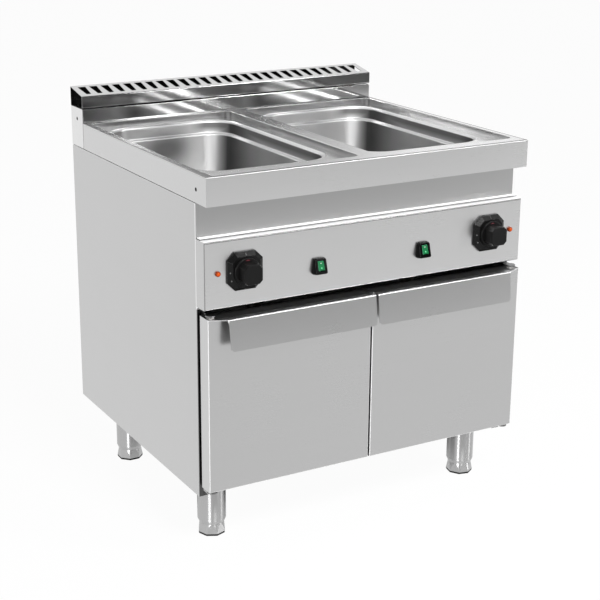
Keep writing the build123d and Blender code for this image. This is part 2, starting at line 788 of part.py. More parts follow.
def drain_valve():
    """Ball valve with a collar, a threaded outlet and the stem for its lever."""
    centre = (well_x, drain_y)
    body = post(centre, valve_radius, (valve_bottom_z, valve_top_z - collar_height))
    collar = RegularPolygon(collar_radius, 6, major_radius=False)
    body += Pos(*centre, valve_top_z - collar_height) * extrude(collar, amount=collar_height)
    body += post(centre, outlet_radius, (valve_bottom_z - outlet_length, valve_bottom_z))
    axis = (well_x, stem_axis_z)
    stem_y = drain_y - valve_stem_reach
    body += rod_along_y(axis, valve_stem_radius, (stem_y, drain_y))
    body += rod_along_y(axis, lever_pin_radius, (stem_y - lever_thickness - fit_gap, drain_y))
    return body - post(centre, outlet_bore, (valve_bottom_z - 2 * outlet_length, valve_top_z))


def drain_lever():
    """Valve lever, level while the valve is shut."""
    front = drain_y - valve_stem_reach - lever_thickness - fit_gap
    axis = (well_x, stem_axis_z)
    y = (front, front + lever_thickness)
    lever = rod_along_y(axis, lever_hub_radius, y)
    arm_z = (stem_axis_z - lever_width / 2, stem_axis_z + lever_width / 2)
    arm = block((well_x, well_x + lever_length), y, arm_z)
    arm = fillet(arm.edges().filter_by(Axis.Y).group_by(Axis.X)[-1], lever_width / 3)
    lever += arm
    bore_y = (front - bend, front + 2 * lever_thickness)
    return lever - rod_along_y(axis, lever_pin_radius + running_gap, bore_y)


def cable_gland():
    """Supply inlet in the back panel, without a cable."""
    axis = (gland_x, gland_z)
    outside = rear_panel_y
    inside = rear_panel_y - sheet
    gland = rod_along_y(axis, gland_thread_radius, (inside - gland_nut_height, outside))
    hexagon = RegularPolygon(gland_nut_radius, 6, major_radius=False)
    nut = extrude(hexagon, amount=gland_nut_height)
    for start in (outside, inside - gland_nut_height):
        gland += Plane((gland_x, start, gland_z), z_dir=(0, 1, 0)) * nut
    dome_y = outside + gland_nut_height
    dome = rod_along_y(axis, gland_nut_radius - bend, (dome_y, dome_y + gland_dome_height))
    gland += fillet(dome.edges().group_by(Axis.Y)[-1], 2 * bend)
    return gland - rod_along_y(axis, gland_bore, (inside - depth, rear_y))


def terminal_block():
    """Supply terminals on the inside of the back panel."""
    size_x, size_y, size_z = terminal_size
    centre_x = gland_x - gland_nut_radius - size_x
    back = rear_panel_y - sheet
    x = (centre_x - size_x / 2, centre_x + size_x / 2)
    terminals = block(x, (back - size_y, back), (gland_z - size_z / 2, gland_z + size_z / 2))
    first = centre_x - terminal_pitch * (terminal_poles - 1) / 2
    for pole in range(terminal_poles):
        axis = (first + pole * terminal_pitch, gland_z)
        front = back - size_y
        terminals -= rod_along_y(axis, terminal_well, (front - bend, front + terminal_well_depth))
    return terminals


def save(name, piece):
    """Writes one named piece."""
    export_step(piece, os.path.join("parts", name + ".step"))


def save_pair(name, piece):
    """Writes the left piece and its mirror image on the right."""
    save("left_" + name, piece)
    save("right_" + name, right_of(piece))


os.makedirs("parts", exist_ok=True)
single_pieces = (
    worktop, flue_upstand, flue_grille, rear_panel, bottom_panel, front_rail,
    control_panel, compartment_roof, cable_gland, terminal_block,
)
paired_pieces = (
    basin, side_panel, knob_bezel, knob, spindle, thermostat, heater, heater_clamps,
    lamp, switch_housing, rocker, door_skin, door_liner, door_bushes, upper_hinge,
    lower_hinge, door_catch, drain_pipe, drain_valve, drain_lever,
)
for make in single_pieces:
    save(make.__name__, make())
for make in paired_pieces:
    save_pair(make.__name__, make())
turn = foot_turn
for end, y in (("front", leg_front_y), ("rear", leg_rear_y)):
    for side, x in (("left", leg_x), ("right", -leg_x)):
        corner = end + "_" + side
        save(corner + "_leg", leg((x, y)))
        save(corner + "_foot", foot((x, y), turn))
        turn += foot_turn_step
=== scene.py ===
# %% [markdown]
# # A stainless bain-marie counter
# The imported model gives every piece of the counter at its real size, in metres.
# This lesson dresses it: a camera, a white studio, one finish for each material,
# and the small printed and screwed-on details that a sheet-metal model leaves out.

# %% Load the counter
import math

import bmesh
import bpy
from mathutils import Matrix, Vector


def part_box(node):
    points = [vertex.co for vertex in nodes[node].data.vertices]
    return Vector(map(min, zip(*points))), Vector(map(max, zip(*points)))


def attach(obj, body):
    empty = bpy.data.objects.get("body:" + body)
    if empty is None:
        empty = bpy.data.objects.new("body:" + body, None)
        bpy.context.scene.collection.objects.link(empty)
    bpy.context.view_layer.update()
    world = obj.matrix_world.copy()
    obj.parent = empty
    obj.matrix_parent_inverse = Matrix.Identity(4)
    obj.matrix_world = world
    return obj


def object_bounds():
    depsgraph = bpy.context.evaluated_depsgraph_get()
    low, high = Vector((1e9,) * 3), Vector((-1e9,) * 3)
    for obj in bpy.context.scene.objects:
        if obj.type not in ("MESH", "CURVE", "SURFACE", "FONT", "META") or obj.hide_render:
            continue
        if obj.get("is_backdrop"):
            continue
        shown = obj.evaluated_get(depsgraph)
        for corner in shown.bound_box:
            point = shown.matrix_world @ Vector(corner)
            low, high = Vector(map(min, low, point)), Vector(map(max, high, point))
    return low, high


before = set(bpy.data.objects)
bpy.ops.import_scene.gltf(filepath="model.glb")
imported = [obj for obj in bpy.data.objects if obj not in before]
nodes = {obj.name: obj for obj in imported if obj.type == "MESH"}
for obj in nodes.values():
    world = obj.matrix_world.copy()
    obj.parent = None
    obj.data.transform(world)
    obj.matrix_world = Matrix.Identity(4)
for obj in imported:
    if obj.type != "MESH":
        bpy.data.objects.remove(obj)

cad_low, cad_high = [Vector(corner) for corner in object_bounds()]
print("counter box", tuple(cad_low), tuple(cad_high), "pieces", len(nodes))

# %% [markdown]
# ## Camera
# The counter is seen from its front left, a little above the worktop. The lens and the
# place of the camera come from fitting the counter's straight edges to the picture, so
# the camera is set by a place, two angles and a lens. A small lens shift puts the counter
# where it stands in the picture.

# %% Camera
IMAGE = 600
SENSOR = 36.0
FOCAL_PIXELS = 1389.4
AZIMUTH = math.radians(-28.49)
ELEVATION = math.radians(17.03)
CAMERA_PLACE = Vector((-1.5736, -2.7468, 1.4415))
CENTRE_PIXEL = (262.9, 279.8)

scene = bpy.context.scene
camera_data = bpy.data.cameras.new("picture_camera")
camera_data.sensor_width = SENSOR
camera_data.lens = FOCAL_PIXELS * SENSOR / IMAGE
camera_data.shift_x = (IMAGE / 2 - CENTRE_PIXEL[0]) / IMAGE
camera_data.shift_y = (CENTRE_PIXEL[1] - IMAGE / 2) / IMAGE
camera = bpy.data.objects.new("picture_camera", camera_data)
scene.collection.objects.link(camera)
back = Vector((math.sin(AZIMUTH) * math.cos(ELEVATION),
               -math.cos(AZIMUTH) * math.cos(ELEVATION), math.sin(ELEVATION)))
right = Vector((0, 0, 1)).cross(back).normalized()
turn = Matrix((right, back.cross(right), back)).transposed()
camera.matrix_world = Matrix.Translation(CAMERA_PLACE) @ turn.to_4x4()
scene.camera = camera
print("lens", round(camera_data.lens, 1), "mm, shift", camera_data.shift_x, camera_data.shift_y)

# %% [markdown]
# ## Shader sums in Python
# A finish is a tree of nodes, and it could be wired by hand, node by node. Wrapping a socket
# in a small class lets a sum such as `0.3 + 0.1 * streak` add the Math nodes by itself. A mask
# is a value that is one where something shows and zero elsewhere, so `|` joins two masks and
# `*` keeps what lies in both.


# %% Sockets that can be added and multiplied
class Flow:
    """One output socket inside a finish."""

    def __init__(self, finish, socket):
        self.finish = finish
        self.socket = socket

    def sum(self, operation, other=0.0, swap=False):
        first, second = (other, self) if swap else (self, other)
        return self.finish.add("ShaderNodeMath", {"operation": operation}, {0: first, 1: second})

    def __add__(self, other):
        return self.sum("ADD", other)

    def __sub__(self, other):
        return self.sum("SUBTRACT", other)

    def __rsub__(self, other):
        return self.sum("SUBTRACT", other, swap=True)

    def __mul__(self, other):
        return self.sum("MULTIPLY", other)

    def __lt__(self, other):
        return self.sum("LESS_THAN", other)

    def __gt__(self, other):
        return self.sum("GREATER_THAN", other)

    def __or__(self, other):
        return self.sum("MAXIMUM", other)

    def __abs__(self):
        return self.sum("ABSOLUTE")

    def root(self):
        return self.sum("SQRT")

    __radd__ = __add__
    __rmul__ = __mul__


# %% [markdown]
# ## A finish under construction
# Every material here starts as Blender's own Principled shader. One method adds any node: its
# type, then its settings, then the values or links of its sockets. The short methods below it
# are the few nodes that nearly every finish needs.


# %% Finish
class Finish:
    """A material under construction."""

    def __init__(self, name):
        self.material = bpy.data.materials.new(name)
        self.material.use_nodes = True
        self.work_in(self.material.node_tree, "Principled BSDF")

    def work_in(self, tree, shader):
        self.tree = tree
        self.shader = tree.nodes[shader]

    @classmethod
    def inside(cls, tree, shader):
        """A finish in a tree that is there already, such as the world's."""
        finish = cls.__new__(cls)
        finish.material = None
        finish.work_in(tree, shader)
        return finish

    def add(self, kind, settings=None, sockets=None, out=0):
        node = self.tree.nodes.new(kind)
        for name, value in (settings or {}).items():
            setattr(node, name, value)
        for name, value in (sockets or {}).items():
            self.feed(node.inputs[name], value)
        return Flow(self, node.outputs[out])

    def feed(self, socket, value):
        if isinstance(value, Flow):
            self.tree.links.new(value.socket, socket)
        else:
            socket.default_value = value

    def set(self, **values):
        for name, value in values.items():
            self.feed(self.shader.inputs[name.replace("_", " ")], value)
        return self.material

    def split(self, vector, axis):
        return self.add("ShaderNodeSeparateXYZ", None, {0: vector}, out=axis)

    def place(self):
        return self.add("ShaderNodeTexCoord", out="Object")

    def at(self, axis):
        """Where a point of the piece lies along one axis."""
        return self.split(self.place(), axis)

    def facing(self, axis):
        """How far a face looks along one axis, from -1 to 1; turns with the piece."""
        return self.split(self.add("ShaderNodeTexCoord", out="Normal"), axis)

    def noise(self, scale, detail=3.0, stretch=(1, 1, 1)):
        """Noise in object space, from 0 to 1; stretch multiplies the scale along each axis."""
        at = self.add("ShaderNodeMapping", None, {"Vector": self.place(), "Scale": stretch})
        return self.add("ShaderNodeTexNoise", None, {"Vector": at, "Scale": scale, "Detail": detail})

    def mix(self, factor, first, second):
        """Colour between two colours or colour flows."""
        settings = {"data_type": "RGBA"}
        return self.add("ShaderNodeMix", settings, {0: factor, 6: first, 7: second}, out=2)

    def ramp(self, value, low, high, soft=False):
        """Rises from 0 to 1 between two values, with soft ends if asked."""
        settings = {"interpolation_type": "SMOOTHSTEP" if soft else "LINEAR"}
        return self.add("ShaderNodeMapRange", settings, {"Value": value, "From Min": low, "From Max": high})

    def bump(self, height, depth, strength, normal=None):
        sockets = {"Height": height, "Distance": depth, "Strength": strength}
        if normal:
            sockets["Normal"] = normal
        return self.add("ShaderNodeBump", None, sockets)

    def surface(self):
        return Flow(self, self.shader.outputs[0])

    def end_with(self, flow):
        self.tree.links.new(flow.socket, self.tree.nodes["Material Output"].inputs["Surface"])


# %% [markdown]
# ## Colours as they look
# A screen shows a tone of one half with about a fifth of the light of white. Colours are
# written here as they look, because that is how one compares them, and turned into light once.


# %% Colours
def colour(red, green, blue):
    """Colour given as it looks on screen, turned into light values."""
    def light(value):
        return value / 12.92 if value <= 0.04045 else ((value + 0.055) / 1.055) ** 2.4
    return (light(red), light(green), light(blue), 1.0)


def grey(value, warmth=0.0):
    return colour(value + warmth, value, value - warmth)


print("middle grey as light", round(grey(0.5)[0], 3))

# %% [markdown]
# ## White studio
# The counter stands on a white floor under a white sky. Metal has no colour of its own to
# show: it shows the room, so the room matters more than the lamps here. The Light Path node
# tells which kind of ray asks: the camera and reflections see plain white, while the light
# that floor and sky give off stays low, so that every fold keeps its shade.

# %% Floor and sky
FLOOR_SIZE = 60.0
FLOOR_GLOW = 0.96
FLOOR_TONES = (0.985, 0.995)
SKY_FOR_SHADE = 0.25
WHITE = (1, 1, 1, 1)
scene.view_settings.view_transform = "Standard"


def seen_directly(finish):
    """One for the rays of the camera and of reflections, else zero."""
    camera_ray = finish.add("ShaderNodeLightPath", out="Is Camera Ray")
    return camera_ray | finish.add("ShaderNodeLightPath", out="Is Glossy Ray")


def glow(finish, tint):
    return finish.add("ShaderNodeEmission", None, {"Color": tint, "Strength": 1.0})


def flat_board(name, wide, high):
    """Board that reaches so far from its middle."""
    mesh = bpy.data.meshes.new(name)
    points = [(-wide, -high, 0), (wide, -high, 0), (wide, high, 0), (-wide, high, 0)]
    mesh.from_pydata(points, [], [(0, 1, 2, 3)])
    board = bpy.data.objects.new(name, mesh)
    scene.collection.objects.link(board)
    board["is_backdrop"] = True
    return board


def studio_floor():
    floor = flat_board("studio_floor", FLOOR_SIZE / 2, FLOOR_SIZE / 2)
    finish = Finish("studio_floor_paint")
    paint = finish.mix(finish.noise(40.0), *[grey(tone) for tone in FLOOR_TONES])
    finish.set(Base_Color=paint, Roughness=0.9, Specular_IOR_Level=0.0)
    share = FLOOR_GLOW * seen_directly(finish)
    sockets = {0: share, 1: finish.surface(), 2: glow(finish, WHITE)}
    finish.end_with(finish.add("ShaderNodeMixShader", None, sockets))
    floor.data.materials.append(finish.material)


def white_sky():
    scene.world = bpy.data.worlds.new("white_sky")
    scene.world.use_nodes = True
    sky = Finish.inside(scene.world.node_tree, "Background")
    strength = SKY_FOR_SHADE + (1.0 - SKY_FOR_SHADE) * seen_directly(sky)
    sky.set(Color=WHITE, Strength=strength)


studio_floor()
white_sky()
print("floor", FLOOR_SIZE, "m wide, sky light", SKY_FOR_SHADE)

# %% [markdown]
# ## Dark mats to mirror
# Polished steel looks dark only where it mirrors something dark. The legs mirror the shade under
# the counter, and two dark mats make that shade deep enough. They are seen by reflections alone,
# so they neither show in the picture nor cast a shadow, and from below they are clear.

# %% Mats
MAT_SHADE = 0.12
CLOTH_SPREAD = 0.03


def only_mirrored(board):
    board.visible_camera = False
    board.visible_shadow = False
    board.visible_diffuse = False


def dark_cloth(name, shade):
    finish = Finish(name + "_cloth")
    cloth = finish.mix(finish.noise(3.0), grey(shade), grey(shade + CLOTH_SPREAD))
    finish.set(Base_Color=cloth, Roughness=1.0, Specular_IOR_Level=0.0)
    return finish


def shade_mat(name, low, high):
    """Dark mat in the shade under the counter, clear from below."""
    low, high = Vector(low), Vector(high)
    mat = flat_board(name, (high.x - low.x) / 2, (high.y - low.y) / 2)
    mat.location = (low + high) / 2
    finish = dark_cloth(name, MAT_SHADE)
    from_below = finish.add("ShaderNodeNewGeometry", out="Backfacing")
    clear = finish.add("ShaderNodeBsdfTransparent")
    finish.end_with(finish.add("ShaderNodeMixShader", None, {0: from_below, 1: finish.surface(), 2: clear}))
    mat.data.materials.append(finish.material)
    only_mirrored(mat)


shade_mat("middle_mat", (-0.39, -0.09, 0.001), (0.39, 0.06, 0.001))
shade_mat("front_mat", (-0.17, -0.29, 0.001), (0.17, -0.09, 0.001))
print("mats of tone", MAT_SHADE)

# %% [markdown]
# ## Dark dome to mirror
# Fronts and wells mirror the room behind the camera. A flat dark board would show its corners in
# the polished sheet, so a round part of a dome hangs there: rings of points around an axis.

# %% Dome
DOME_ROUND, DOME_RINGS = 32, 8


def dark_dome(name, direction, half_angle, radius, shade):
    """Part of a dome around the counter, wide as twice the angle."""
    axis = Vector(direction).normalized()
    side = axis.cross(Vector((0, 0, 1))).normalized()
    lift = side.cross(axis)
    turns = [2 * math.pi * number / DOME_ROUND for number in range(DOME_ROUND)]
    spokes = [side * math.cos(turn) + lift * math.sin(turn) for turn in turns]
    mesh_data = bmesh.new()
    tip = mesh_data.verts.new(axis * radius)
    before = None
    for step in range(1, DOME_RINGS + 1):
        lean = half_angle * step / DOME_RINGS
        points = [(axis * math.cos(lean) + spoke * math.sin(lean)) * radius for spoke in spokes]
        now = [mesh_data.verts.new(point) for point in points]
        for number in range(DOME_ROUND):
            following = (number + 1) % DOME_ROUND
            if before:
                mesh_data.faces.new((before[number], before[following], now[following], now[number]))
            else:
                mesh_data.faces.new((tip, now[following], now[number]))
        before = now
    mesh = bpy.data.meshes.new(name)
    mesh_data.to_mesh(mesh)
    mesh_data.free()
    mesh.materials.append(dark_cloth(name, shade).material)
    dome = bpy.data.objects.new(name, mesh)
    scene.collection.objects.link(dome)
    only_mirrored(dome)
    dome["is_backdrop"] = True


dark_dome("front_dome", (0.2, -0.85, 0.45), math.radians(60), radius=5.0, shade=0.45)
print("dome of", DOME_ROUND * DOME_RINGS, "faces")

# %% [markdown]
# ## Grey card to mirror
# The level faces of the worktop mirror what stands behind the counter. In the picture they run
# from grey to white, so a card with such a run of tones stands there, again for reflections alone.

# %% Card
CARD_RUN = (0.05, -0.45)


def aimed(thing, place, aim):
    thing.location = place
    thing.rotation_euler = (Vector(aim) - Vector(place)).to_track_quat("-Z", "Y").to_euler()


def grey_card(name, place, aim, half, low, high):
    """Standing card whose grey climbs from one end to the other."""
    card = flat_board(name, *half)
    aimed(card, place, aim)
    finish = Finish(name + "_paper")
    climb = finish.ramp(finish.at("X"), *CARD_RUN)
    paper = finish.mix(climb * (0.4 + 0.6 * climb), grey(low), grey(high))
    finish.end_with(glow(finish, paper))
    card.data.materials.append(finish.material)
    only_mirrored(card)


grey_card("back_card", (1.1, 1.9, 1.26), aim=(0, 0, 0.83), half=(1.15, 0.36), low=0.70, high=1.0)
print("card ready")

# %% [markdown]
# ## Lamps
# Two soft boxes in front light the whole counter. The others are small, and are there for
# their mirror images: white streaks in the wells and along the legs. A lamp can be linked to
# a collection of pieces, which keeps the streak lamps off the side panels, and two of them
# give no diffuse light at all.

# %% Lamps
COUNTER_MIDDLE = (0, 0, 0.8)
FOOT_LEVEL = (-0.1, -0.2, 0.1)


def soft_box(name, place, size, watts, aim=COUNTER_MIDDLE):
    data = bpy.data.lights.new(name, "AREA")
    data.shape = "RECTANGLE"
    data.size, data.size_y = size
    data.energy = watts
    lamp = bpy.data.objects.new(name, data)
    scene.collection.objects.link(lamp)
    aimed(lamp, place, aim)
    return lamp


def only_on(lamp, words):
    """Let a lamp light only the pieces whose names hold one of these words."""
    lit = bpy.data.collections.new(lamp.name + "_pieces")
    for name, piece in nodes.items():
        if any(word in name for word in words):
            lit.objects.link(piece)
    lamp.light_linking.receiver_collection = lit


soft_box("front_soft_box", (0.0, -3.1, 3.3), size=(1.0, 1.0), watts=140.0)
soft_box("right_soft_box", (2.1, -2.5, 3.4), size=(0.7, 1.0), watts=50.0)
left_strip = soft_box("left_strip_box", (-2.75, -2.95, 1.3), size=(0.3, 1.6), watts=70.0)
right_strip = soft_box("right_strip_box", (3.3, -2.6, 1.3), size=(0.3, 1.6), watts=45.0)
left_high = soft_box("left_high_box", (-1.7, -2.8, 2.75), size=(0.5, 0.5), watts=22.0)
soft_box("low_strip_box", (1.6, -3.75, 1.55), size=(0.3, 0.7), watts=7.0)
foot_strip = soft_box("foot_strip_box", (-2.5, -2.65, 0.28), (0.5, 0.5), 20.0, aim=FOOT_LEVEL)
left_high.visible_diffuse = foot_strip.visible_diffuse = False

streaked = ("leg", "foot", "basin", "grille", "door", "knob", "lamp", "rocker", "switch", "control", "rail")
only_on(left_strip, streaked)
only_on(right_strip, streaked + ("worktop",))
only_on(left_high, ("basin", "upstand", "grille"))
only_on(foot_strip, ("leg", "foot"))

# %% [markdown]
# ## Where on a sheet
# Folded sheet has places that look different from its faces: the bends, which catch the light,
# the level tops, and the holes. They could be cut out as faces of their own, but a mask from
# the surface normal or from the place of a point needs no new geometry.

# %% Masks for any sheet
HOLE_EDGE = 0.0043


def facing_up(finish):
    """One on level faces that look up, falling to zero on slopes of 45 degrees."""
    normal = finish.add("ShaderNodeNewGeometry", out="Normal")
    return finish.ramp(finish.split(normal, "Z"), 0.7, 0.95)


def on_bends(finish):
    """One on the rounded bends, zero on faces square to the axes."""
    widest = abs(finish.facing("X")) | abs(finish.facing("Y")) | abs(finish.facing("Z"))
    return finish.ramp(widest, 0.96, 0.84)


def looking_forward(finish):
    return finish.facing("Y") < -0.7


def in_hole(finish, back, up):
    """One in a joining hole, whose axis lies level across the counter."""
    from_back, from_up = finish.at("Y") - back, finish.at("Z") - up
    return from_back * from_back + from_up * from_up < HOLE_EDGE * HOLE_EDGE


# %% [markdown]
# ## Satin stainless sheet
# Doors, panels and worktop are folded from sheet that was ground in one direction. The
# grind leaves long fine scratches: they spread reflections, so the sheet looks grey and
# soft. A noise stretched hard along one axis gives those scratches; the same noise
# changes tone, roughness and a very shallow bump together. Level faces catch the light
# from above and look paler, so their mask lifts the tone as a painted highlight. Other
# masks paint light and shade on edges, folds and holes.

# %% Satin sheet
SCRATCHES, SCRATCH_RUN = 2600.0, 14.0
BANDS, BAND_RUN = 30.0, 0.8
SCRATCH_DEPTH, SCRATCH_STRENGTH = 0.000002, 0.15
SCRATCH_ROUGH, SMUDGE_ROUGH = 0.02, 0.03
TONE_SPREAD = 0.006
HIGHLIGHT_UNMETAL = 0.8
# HOLE_TONE is painted shade inside joining holes.
HOLE_TONE = 0.03


def along_grain(grain, across, along):
    """Stretch of a noise that is fine across the grain and long along it."""
    stretch = [across] * 3
    stretch["XYZ".index(grain)] = along
    return stretch


def satin_sheet(name, tone, grain, rough=0.34, top=None, top_metal=1.0, walls=None,
                folds=(), dark=None, bright=None, hole=None):
    """Brushed stainless.

    Tone and rough hold for the whole sheet, top is the tone of its level faces, a painted highlight,
    and walls the roughness of all others. Folds give masks and tones of painted light and shade,
    dark a mask and tone of painted shade, bright one of a painted highlight, and hole a joining hole
    filled with painted shade.
    """
    finish = Finish(name)
    scratch = finish.noise(1.0, 2.0, along_grain(grain, SCRATCHES, SCRATCH_RUN))
    band = finish.noise(1.0, 3.0, along_grain(grain, BANDS, BAND_RUN))
    smudge = finish.noise(7.0, 4.0)
    streak = 0.5 * scratch + 0.5 * band

    def brushed(value):
        return finish.mix(streak, grey(value - TONE_SPREAD), grey(value + TONE_SPREAD))

    shade = brushed(tone)
    metal = 1.0
    roughness = rough + SCRATCH_ROUGH * (scratch - 0.5) + SMUDGE_ROUGH * (smudge - 0.5)
    # Painted light and shade on the folds.
    for mask, value in folds:
        shade = finish.mix(mask(finish), shade, brushed(value))
    # Painted highlight: level faces are lifted as if lit from above.
    if top:
        shade = finish.mix(facing_up(finish), shade, brushed(top))
    if top_metal < 1.0:
        metal = 1.0 - (1.0 - top_metal) * facing_up(finish)
    if walls:
        roughness = roughness + (walls - rough) * (1.0 - facing_up(finish))
    # Painted shade along dark edges.
    if dark:
        shade = finish.mix(dark[0](finish), shade, grey(dark[1]))
    # Painted highlight on bright edges, with less metal so that it looks pale.
    if bright:
        painted_highlight = bright[0](finish)
        shade = finish.mix(painted_highlight, shade, grey(bright[1]))
        metal = metal * (1.0 - HIGHLIGHT_UNMETAL * painted_highlight)
    # Painted shade inside a joining hole.
    if hole:
        shade = finish.mix(in_hole(finish, *hole), shade, grey(HOLE_TONE))
        metal = metal * (1.0 - in_hole(finish, *hole))
    return finish.set(Base_Color=shade, Roughness=roughness, Metallic=metal,
                      Normal=finish.bump(scratch, SCRATCH_DEPTH, SCRATCH_STRENGTH))


# %% [markdown]
# ## Plain satin pieces
# The recessed strip below the worktop, the sheets inside the cupboard, the door liners and the
# hinge brackets are plain satin. The strip's level ledge gets a painted highlight and its bends
# painted shade, and the hinge brackets a darker tone as painted shade for the door gaps they sit
# in. A finish replaces what the imported model gave a piece, so the material slots are cleared
# first.


# %% Coat the plain satin pieces
def wear(finish, *nodes_to_coat):
    for name in nodes_to_coat:
        mesh = nodes[name].data
        mesh.materials.clear()
        mesh.materials.append(finish)
    print(finish.name, "on", len(nodes_to_coat))


def pair(name):
    return ["left_" + name, "right_" + name]


def corners(name):
    return [end + "_" + side + "_" + name for end in ("front", "rear") for side in ("left", "right")]


# Painted highlight on the ledge, painted shade on the bends.
wear(satin_sheet("satin_strip", 0.672, "X", 0.32, top=0.98, top_metal=0.0, dark=(on_bends, 0.35)),
     "front_rail")
wear(satin_sheet("satin_inside", 0.66, "X", 0.36), "rear_panel", "bottom_panel", "compartment_roof")
wear(satin_sheet("satin_liner", 0.62, "X", 0.36), *pair("door_liner"))
# The brackets' darker tone is painted shade.
wear(satin_sheet("bracket_steel", 0.52, "Y", 0.34), *pair("upper_hinge"), *pair("lower_hinge"))

# %% [markdown]
# ## Doors and control panel
# The top of each door is folded out into a handle with a slanting flap, which looks down and gets
# a tone of its own as painted light, and the sides of the door are folded back and painted lighter.
# The bends and the level faces carry a painted highlight. The control panel is a box with painted
# shade along its bends and the top of its front, and a painted highlight on its top.

# %% Doors and control panel
FRONT = cad_low.y + 0.031
FLAP_OUT = 0.0135
FLAP_DOWN = 0.002
PANEL_LINE = 0.0035
DOOR_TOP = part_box("left_door_skin")[1].z
PANEL_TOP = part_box("control_panel")[1].z


def handle_flap(finish):
    """One on the slanting flap of the door handle, which gets its own tone as painted light."""
    return (finish.at("Y") < FRONT - FLAP_OUT) * (finish.at("Z") < DOOR_TOP - FLAP_DOWN)


def door_return(finish):
    """One on the folded sides of a door, whose lighter tone is painted light."""
    return finish.ramp(abs(finish.facing("X")), 0.90, 0.97)


def panel_edge(finish):
    """One on the control panel's bends and along the top of its front, where shade is painted."""
    return on_bends(finish) | (finish.facing("Y") < -0.5) * (finish.at("Z") > PANEL_TOP - PANEL_LINE)


# Painted shade on the panel's edges, painted highlights on its top and on the doors' bends.
wear(satin_sheet("satin_panel", 0.780, "X", 0.28, top=0.98, top_metal=0.0, dark=(panel_edge, 0.52)),
     "control_panel")
wear(satin_sheet("satin_door", 0.738, "X", 0.28, top=0.90, bright=(on_bends, 0.90),
                 folds=[(handle_flap, 0.742), (door_return, 0.80)]), *pair("door_skin"))

# %% [markdown]
# ## Side panels
# Each side is one sheet. Its upper edge and the upper part of its front edge are cut edges that
# catch the light, shown as a painted highlight, and beside the doors its folded front lies in their
# shade, shown as painted shade.

# %% Side panels
SIDE_LOW, SIDE_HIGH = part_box("left_side_panel")
SIDE_EDGE = 0.0025
SIDE_RIM = 0.0022
OVER_DOORS = 0.012
BESIDE_DOORS = 0.010


def side_edge(finish):
    """One on the upper edge of a side panel and on its front edge above the doors, with a painted highlight.
    """
    front = (finish.at("Y") < SIDE_LOW.y + SIDE_EDGE) * (finish.at("Z") > DOOR_TOP + OVER_DOORS)
    return front | (finish.at("Z") > SIDE_HIGH.z - SIDE_RIM)


def side_front(finish):
    """One on the folded front edge of a side panel, beside and below the doors, with painted shade."""
    return looking_forward(finish) * (finish.at("Z") < DOOR_TOP + BESIDE_DOORS)


wear(satin_sheet("satin_side", 0.791, "Y", folds=[(side_edge, 0.99), (side_front, 0.34)]),
     *pair("side_panel"))

# %% [markdown]
# ## Worktop
# The worktop is one pressed sheet: a rim around two sunk recesses, folded down at the front and
# the sides. The rounded edge of the rim mirrors first the room behind the camera and then the
# floor, so it gets a painted reflection: a dark line above and a bright one below. The walls of
# the recesses mirror each other; their tones are painted reflections, darker in the recesses and
# lighter on the walls that look left. Level faces get a painted highlight and the joining hole
# painted shade.

# %% Worktop
WORKTOP_TOP = 0.834
RIM_WIDTH = 0.007
LEFT_RIM_WIDTH = 0.017
REAR_STRIP = 0.2935
LOWER_EDGE = 0.0018
LOWER_EDGE_REACH = 0.005
RECESS_DEPTH = 0.0008
RECESS_FROM_FRONT = 0.012
RECESS_FROM_SIDE = 0.010
WORKTOP_HOLE = (-0.3035, 0.801)


def along_edge(finish, wide, left):
    """One on a strip along the worktop's front and right side, and as wide as asked on its left side."""
    sides = (finish.at("X") < cad_low.x + left) | (finish.at("X") > cad_high.x - wide)
    return sides | (finish.at("Y") < FRONT + wide)


def worktop_edge(finish):
    """One on the upper side of the worktop's front and side edges and on its rear strip, where a dark
    reflection is painted.
    """
    strips = along_edge(finish, RIM_WIDTH, LEFT_RIM_WIDTH) | (finish.at("Y") > REAR_STRIP)
    return strips * finish.ramp(finish.facing("Z"), 0.40, 0.66)


def lower_worktop_edge(finish):
    """One on the outer side of those edges, just under the top, where a bright reflection is painted."""
    strips = along_edge(finish, LOWER_EDGE_REACH, LOWER_EDGE_REACH)
    return strips * (finish.at("Z") > WORKTOP_TOP - LOWER_EDGE) * finish.ramp(finish.facing("Z"), 0.66, 0.60)


def recess_wall(finish):
    """One on the walls and the floor of the two sunk recesses, which get a darker painted reflection."""
    sunk = finish.at("Z") < WORKTOP_TOP - RECESS_DEPTH
    behind = finish.at("Y") > FRONT + RECESS_FROM_FRONT
    return sunk * behind * (abs(finish.at("X")) < cad_high.x - RECESS_FROM_SIDE)


def right_recess_wall(finish):
    """One on the walls of the recesses that look left, most at the back and at the right, with a light
    painted reflection.
    """
    to_left = finish.facing("X") < -0.985
    return recess_wall(finish) * to_left * finish.ramp(finish.at("X") + finish.at("Y"), 0.05, 0.25)


# Painted highlights on level faces and lower edges, painted reflections on the recess walls, painted shade
# in the hole.
wear(satin_sheet("satin_worktop", 0.815, "X", 0.20, top=0.89, walls=0.28, hole=WORKTOP_HOLE,
                 folds=[(recess_wall, 0.60), (right_recess_wall, 0.90)],
                 bright=(lower_worktop_edge, 0.93), dark=(worktop_edge, 0.55)), "worktop")

# %% [markdown]
# ## Polished stainless
# The upstand, the grille, the wells and the legs are polished. Polishing wheels run round a
# drawn well or a tube, so their marks lie level and pull every reflection into an upright
# streak. The shader does the same with its anisotropy, turned by a quarter; the roughness
# carries a faint haze. Pieces with tones of their own start from the same polish.

# %% Polished sheet
TURNED_UPRIGHT = 0.25
WIPES, WIPE_RUN = 60.0, 3.0
WIPE_SPREAD = 0.012
HAZE_ROUGH, WIPE_ROUGH = 0.04, 0.03


